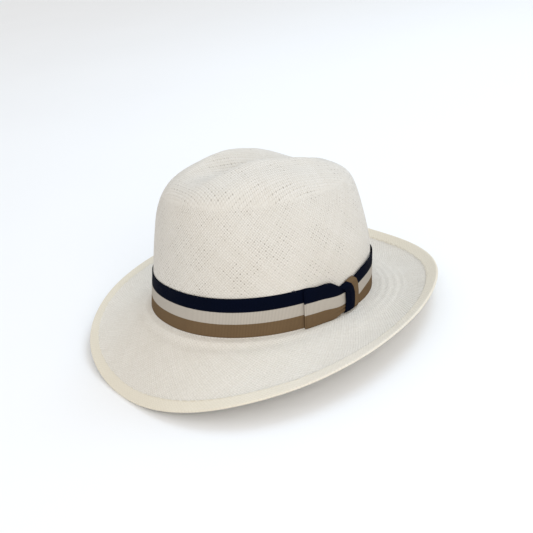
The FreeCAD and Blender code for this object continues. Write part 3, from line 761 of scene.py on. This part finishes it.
def make_bow_front(share):
    side = np.linspace(BOW_START, BOW_END, 90)[None, :]
    part = (side - BOW_START) / (BOW_END - BOW_START)
    puff = BOW_PUFF * np.sin(math.pi * np.clip(part * 1.1, 0.0, 1.0)) * np.sin(math.pi * share) ** 0.6
    tuck = 0.9 * smooth_step((part - 0.72) / 0.28)
    khaki_deep = 0.1 + 0.6 * (1.0 - smooth_step((share - 0.2) / 0.2))
    pleats = khaki_deep * smooth_step((part - 0.6) / 0.35) * np.sin(2 * math.pi * (5.4 * share + 0.15))
    offset = BOW_STAND_OFF + puff + pleats - tuck + 0.6 * smooth_step((part - 0.35) / 0.3)
    outer = wall(np.radians(side + bow_slant(share, part)), bow_height(side, share), offset)
    length = distances(outer[len(share) // 2]) + 0.3
    bow = add_ribbon("bow_front_layer", outer, RIBBON, length[None, :], share)
    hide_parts("bow_loop")


def make_bow_back(share):
    """The same ribbon turned back at the bow's folded end and laid under its front."""
    side = np.linspace(BOW_START, BOW_END - 1.0, 40)[None, :]
    slant = bow_slant(share)
    height = bow_height(side, share) * 0.985 + 0.1
    layer = wall(np.radians(side + slant), height, BACK_LAYER_OFFSET)

    def end(degrees, offset):
        return wall(np.radians(BOW_START + slant + degrees), height[:, :1], offset + TURN_RADIUS)

    middle = end(0.0, BACK_LAYER_OFFSET)
    forwards = unit(end(-0.5, BACK_LAYER_OFFSET) - middle)
    outwards = unit(end(0.0, BACK_LAYER_OFFSET + 0.45) - middle)
    fold = np.linspace(0.0, math.pi, 9)[None, :, None]
    turned = middle + TURN_RADIUS * (forwards * np.sin(fold) + outwards * np.cos(fold))
    outer = np.concatenate([turned, layer[:, 1:]], axis=1)
    length = distances(outer[len(share) // 2])
    back = add_ribbon("bow_back_layer", outer, BACK_LAYER_THICKNESS, length[None, :], share)


def make_bow():
    share = np.linspace(0.0, 1.0, 34)[:, None]
    make_bow_front(share)
    make_bow_back(share)


def edge_line(share, points):
    """Degrees from the left at each share of the knot's height, through (share, degrees) points."""
    heights, sides = np.array(points).T
    return np.interp(share, heights, sides)


def knot_fold(name, first, last, stripes, offset, swell, edge_drop):
    """One fold of the knot, between two edges. stripes gives the ribbon's shares at its two edges."""
    share = np.linspace(0.0, 1.0, len(first))[:, None]
    across = np.linspace(0.0, 1.0, 18)[None, :]
    over_top = smooth_step((share - 0.86) / 0.14) ** 2
    under = smooth_step((0.1 - share) / 0.1)
    side = first + (last - first) * across
    top = KNOT_TOP + KNOT_TOP_RISE * smooth_step((side - 6.4) / 9.0)
    height = KNOT_FOOT + (top - KNOT_FOOT) * share - 0.6 * under
    crease = 0.10 * np.sin(2 * math.pi * (2.3 * across + 0.35 * share)) * np.sin(math.pi * share)
    offset = offset + swell * np.sin(math.pi * (0.08 + 0.84 * across)) ** 0.7 + crease - edge_drop * across
    offset = offset + (1.3 - offset) * over_top + (1.6 - offset) * under ** 2 * 0.6
    outer = wall(np.radians(side), height, offset)
    length = distances(outer[:, 8])
    piece = add_ribbon(name, outer, RIBBON, length[:, None], stripes[0] + (stripes[1] - stripes[0]) * across)
    return piece, 0.001 * length[-1]


def make_knot():
    """Ribbon wrapped over the gathered bow: its navy side in front and its khaki side tucked behind."""
    share = np.linspace(0.0, 1.0, 46)[:, None]
    left = edge_line(share, [(0.0, 7.6), (0.08, 7.9), (0.4, 8.9), (0.72, 9.2), (0.86, 8.2), (1.0, 6.4)])
    seam = edge_line(share, [(0.0, 14.6), (0.25, 15.4), (0.5, 15.9), (0.72, 15.2), (0.86, 13.9), (1.0, 11.6)])
    right = edge_line(share, [(0.0, 18.8), (0.25, 19.4), (0.5, 19.8), (0.75, 19.6), (0.9, 18.8), (1.0, 17.4)])
    front, long = knot_fold("knot_navy_fold", left, seam, (1.0, 0.68), 3.5, 1.5, 0.0)
    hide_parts("bow_knot")
    behind, long = knot_fold("knot_khaki_fold", seam - 1.2, right, (0.30, 0.0), 3.3, 0.8, 0.4)


# ---------------------------------------------------------------- leather and small bow inside

LEATHER_LOWER, LEATHER_UPPER = 2.2, 37.0
LEATHER_GAP, LEATHER = 0.4, 1.0
FREE_EDGE, FREE_EDGE_LEAN = 0.28, 0.7  # share of the width that leans in, and how far
BACK = 90.0
SMALL_BOW_ANGLE, SMALL_BOW_HEIGHT = 8.0, 12.0
SMALL_BOW_END, SMALL_BOW_WAIST = 4.6, 1.7
SMALL_BOW_RIBBON, SMALL_BOW_PLEAT = 0.5, 0.22
WRAP_ANGLE, WRAP_REACH = 1.25, 0.5


def make_sweatband():
    """Leather round the inside, sewn at its foot, with a free upper edge that leans in and waves a little."""
    angle = np.linspace(0.0, 2.0 * math.pi, 360, endpoint=False)[None, :]
    share = np.linspace(0.0, 1.0, 26)[:, None]
    free = smooth_step((share - 1.0 + FREE_EDGE) / FREE_EDGE)
    height = LEATHER_LOWER + (LEATHER_UPPER - LEATHER_LOWER) * share + 0.3 * free * np.sin(5.0 * angle)
    waves = 0.3 * np.sin(7.0 * angle + 1.0) + 0.15 * np.sin(12.0 * angle)
    outer = wall(angle, height, -STRAW - LEATHER_GAP - free * (FREE_EDGE_LEAN + waves), 0.0)
    length = distances(outer[0], closed=True)
    uv = np.stack(np.broadcast_arrays(length[None, :-1], share), -1)
    points, faces, pairs = thick_sheet(outer, LEATHER, uv)
    leather = add_mesh("leather_sweatband", points, faces, leather_material(), {"leather": pairs})
    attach(leather, "root")
    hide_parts("sweatband")


def small_bow_faces():
    """Outer faces of the satin ribbon, pinched at its middle, and of the short wrap round the pinch."""
    leather_face = -STRAW - LEATHER_GAP - LEATHER - 0.2
    along = np.linspace(-1.0, 1.0, 49)[None, :]
    share = np.linspace(-1.0, 1.0, 15)[:, None]
    half = SMALL_BOW_WAIST + (SMALL_BOW_END - SMALL_BOW_WAIST) * smooth_step(1.4 * np.abs(along))
    puff = np.sin(math.pi * np.abs(along)) ** 0.8 * (1.0 - share ** 2)
    pleats = SMALL_BOW_PLEAT * np.cos(2.5 * math.pi * share) * (1.0 - smooth_step(1.2 * np.abs(along)))
    turn = np.radians(BACK + SMALL_BOW_ANGLE * along + 0.5 * along * share ** 2)
    bow = wall(turn, SMALL_BOW_HEIGHT + half * share, leather_face - 0.3 - puff - pleats, 0.0)
    wrap_turn = np.radians(BACK + WRAP_ANGLE * np.linspace(-1.0, 1.0, 9)[None, :])
    wrap_height = SMALL_BOW_HEIGHT + (SMALL_BOW_WAIST + WRAP_REACH) * share
    wrap_offset = leather_face - 0.7 - 0.6 * np.sqrt(1.0 - (0.9 * share) ** 2)
    return bow, wall(wrap_turn, wrap_height, wrap_offset, 0.0)


def make_small_bow(material):
    points, faces, pairs = [], [], []
    for outer in small_bow_faces():
        uv = np.stack([outer[..., 0], outer[..., 2]], -1)
        more_points, more_faces, more_pairs = thick_sheet(outer, SMALL_BOW_RIBBON, uv, closed=False)
        start = len(points)
        points.extend(more_points.reshape(-1, 3))
        faces.extend(tuple(start + corner for corner in corners) for corners in more_faces)
        pairs.extend(more_pairs)
    bow = add_mesh("small_satin_bow", points, faces, material, {"satin": pairs})
    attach(bow, "root")
    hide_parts("sweatband_bow")


# ---------------------------------------------------------------- pieces that keep their CAD shape

# light tone, dark tone, roughness, and twist of the thread or weave
REED_PLASTIC = ((0.80, 0.77, 0.70), (0.70, 0.66, 0.58), 0.45, 40.0)
COTTON_TAPE = ((0.72, 0.66, 0.54), (0.58, 0.51, 0.40), 0.8, 500.0)
LABEL_SATIN = ((0.82, 0.81, 0.77), (0.74, 0.73, 0.68), 0.4, 900.0)
SATIN_RIBBON = ((0.016, 0.02, 0.05), (0.01, 0.012, 0.03), 0.35, 700.0)
CREAM_THREAD = ((0.76, 0.71, 0.60), (0.70, 0.64, 0.52), 0.7, 900.0)
NAVY_THREAD = ((0.02, 0.025, 0.06), (0.01, 0.013, 0.03), 0.6, 900.0)
TAN_THREAD = ((0.13, 0.085, 0.046), (0.10, 0.066, 0.036), 0.7, 900.0)


def finish_cad_nodes():
    cream_thread = thread_material("cream_thread", *CREAM_THREAD)
    finishes = {
        "sweatband_reed": thread_material("reed_plastic", *REED_PLASTIC),
        "reed_tape": thread_material("cotton_tape", *COTTON_TAPE),
        "size_label": thread_material("label_satin", *LABEL_SATIN),
        "sweatband_stitches": cream_thread,
        "brim_edge_stitches": cream_thread,
        "band_tack_stitches": thread_material("navy_thread", *NAVY_THREAD),
        "bow_stitches": thread_material("tan_thread", *TAN_THREAD),
    }
    for node, material in finishes.items():
        slots = frame["nodes"][node].data.materials
        slots.clear()
        slots.append(material)


# ---------------------------------------------------------------- camera, light and floor

CAMERA_AZIMUTH, CAMERA_ELEVATION, CAMERA_ROLL = np.radians([50.77, 24.2, -2.43])
CAMERA_DISTANCE = 0.70
LENS = 52.3
AIM_RIGHT, AIM_UP = 0.00476, 0.02795  # tangents by which the camera looks past the hat's opening


def make_camera():
    """Camera fixed to the level hat, so it keeps its view however the hat rests."""
    back = Vector((math.sin(CAMERA_AZIMUTH) * math.cos(CAMERA_ELEVATION),
                   -math.cos(CAMERA_AZIMUTH) * math.cos(CAMERA_ELEVATION), math.sin(CAMERA_ELEVATION)))
    level_right = Vector((math.cos(CAMERA_AZIMUTH), math.sin(CAMERA_AZIMUTH), 0.0))
    level_up = back.cross(level_right)
    right = level_right * math.cos(CAMERA_ROLL) + level_up * math.sin(CAMERA_ROLL)
    up = level_up * math.cos(CAMERA_ROLL) - level_right * math.sin(CAMERA_ROLL)
    turn = REST.to_3x3()
    place = REST @ (back * CAMERA_DISTANCE)
    look = turn @ (-back + right * AIM_RIGHT + up * AIM_UP)
    look.normalize()
    up = turn @ up
    side = look.cross(up).normalized()
    up = side.cross(look)
    camera = bpy.data.objects.new("camera", bpy.data.cameras.new("camera"))
    camera.data.lens = LENS
    camera.data.sensor_width = 36.0
    camera.data.clip_start = 0.01
    camera.matrix_world = Matrix.Translation(place) @ Matrix((side, up, -look)).transposed().to_4x4()
    bpy.context.scene.collection.objects.link(camera)
    bpy.context.scene.camera = camera
    return -look


def add_light(name, place, target, size, power, colour):
    lamp = bpy.data.lights.new(name, "AREA")
    lamp.shape = "DISK"
    lamp.size = size
    lamp.energy = power
    lamp.color = colour
    light = bpy.data.objects.new(name, lamp)
    light.location = place
    light.rotation_mode = "QUATERNION"
    light.rotation_quaternion = (Vector(target) - Vector(place)).to_track_quat("-Z", "Y")
    bpy.context.scene.collection.objects.link(light)


def make_studio():
    back = make_camera()
    middle = Vector((cad_low + cad_high) / 2)
    ahead = Vector((back.x, back.y, 0.0)).normalized()
    right = Vector((-ahead.y, ahead.x, 0.0))
    upward = Vector((0.0, 0.0, 1.0))
    key_place = middle + right * 0.75 - ahead * 0.6 + upward * 1.35
    fill_place = middle + ahead * 1.4 + right * 0.4 + upward * 0.8
    add_light("key_light", key_place, middle, 0.9, 8.5, (0.58, 0.78, 1.0))
    add_light("front_fill", fill_place, middle, 1.0, 7.8, (1.0, 0.96, 0.92))
    world = bpy.data.worlds.new("studio")
    world.use_nodes = True
    background = world.node_tree.nodes["Background"]
    background.inputs["Color"].default_value = (1.0, 1.0, 1.0, 1.0)
    background.inputs["Strength"].default_value = 0.84
    bpy.context.scene.world = world
    bpy.ops.mesh.primitive_plane_add(size=12.0, location=(0.0, 0.0, 0.0))
    floor = bpy.context.object
    floor.name = "floor"
    floor.data.materials.append(floor_material())


bpy.context.scene.view_settings.view_transform = "Standard"
make_studio()
ribbon = ribbon_material()
make_straw()
make_band()
make_bow()
make_knot()
make_sweatband()
make_small_bow(thread_material("satin_ribbon", *SATIN_RIBBON))
finish_cad_nodes()
